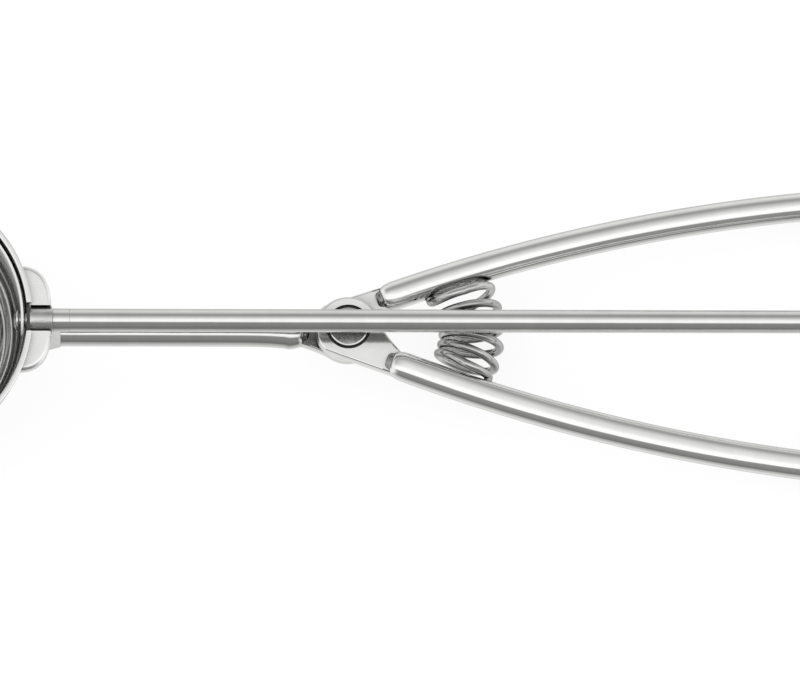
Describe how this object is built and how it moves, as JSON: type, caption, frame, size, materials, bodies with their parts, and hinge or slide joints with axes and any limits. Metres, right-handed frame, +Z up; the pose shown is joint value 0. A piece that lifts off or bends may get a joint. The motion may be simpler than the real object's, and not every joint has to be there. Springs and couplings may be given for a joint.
{
  "type": "portion scoop",
  "caption": "Tongs-type stainless portion scoop: squeezing its curved handles turns a half-round blade through the round bowl to push the portion out.",
  "frame": {"origin": "bottom centre of the box of the scoop as it rests on a table, bowl mouth up", "axes": "+X from the bowl to the handle ends, +Z up from the table; the scoop rests on its bowl and both handle ends, so its shaft falls by about 4.5 degrees towards +X and the tool rolls by about 2.2 degrees"},
  "size_m": [0.2576, 0.067, 0.0348],
  "materials": {
    "polished_stainless": "mirror-polished stainless steel",
    "brushed_stainless": "finely brushed stainless steel",
    "satin_stainless": "satin stainless sheet",
    "machined_stainless": "turned and cut stainless steel",
    "spring_stainless": "drawn stainless spring wire",
    "cast_stainless": "tumbled cast stainless steel"
  },
  "bodies": {
    "frame": {"blade_pivot_pin": "machined_stainless", "bowl": "polished_stainless", "fixed_handle": "polished_stainless", "neck_plate": "satin_stainless", "pinion_yoke": "cast_stainless", "pivot_rivet": "brushed_stainless", "pivot_washer": "satin_stainless", "rack_stop_pin": "machined_stainless", "return_spring": "spring_stainless", "shaft_collar": "satin_stainless", "spine_bar": "polished_stainless", "spine_socket": "satin_stainless", "yoke_rivet_front": "machined_stainless", "yoke_rivet_rear": "machined_stainless"},
    "lever": {"lever_handle": "polished_stainless", "rack": "machined_stainless", "rack_rivet": "machined_stainless"},
    "scraper": {"pinion": "machined_stainless", "pinion_pin": "machined_stainless", "scraper_blade": "brushed_stainless", "shaft": "polished_stainless", "shaft_end_ring": "spring_stainless", "thrust_sleeve": "machined_stainless"}
  },
  "joints": [
    {"name": "lever_squeeze", "type": "hinge", "parent": "frame", "child": "lever", "pos_m": [-0.00532, 0.00179, 0.01275], "axis": [-0.0788, 0.0388, -0.9961], "range_deg": [0, 8.39], "stiffness_Nm_per_rad": 4, "springref_deg": -11.46, "deforming": ["return_spring"]},
    {"name": "scraper_turn", "type": "hinge", "parent": "frame", "child": "scraper", "pos_m": [-0.00464, 0.00146, 0.02132], "axis": [-0.9969, 0, 0.0788], "range_deg": [0, 180]}
  ],
  "couplings": [
    {"joint": "scraper_turn", "follows": "lever_squeeze", "ratio": 21.455}
  ]
}
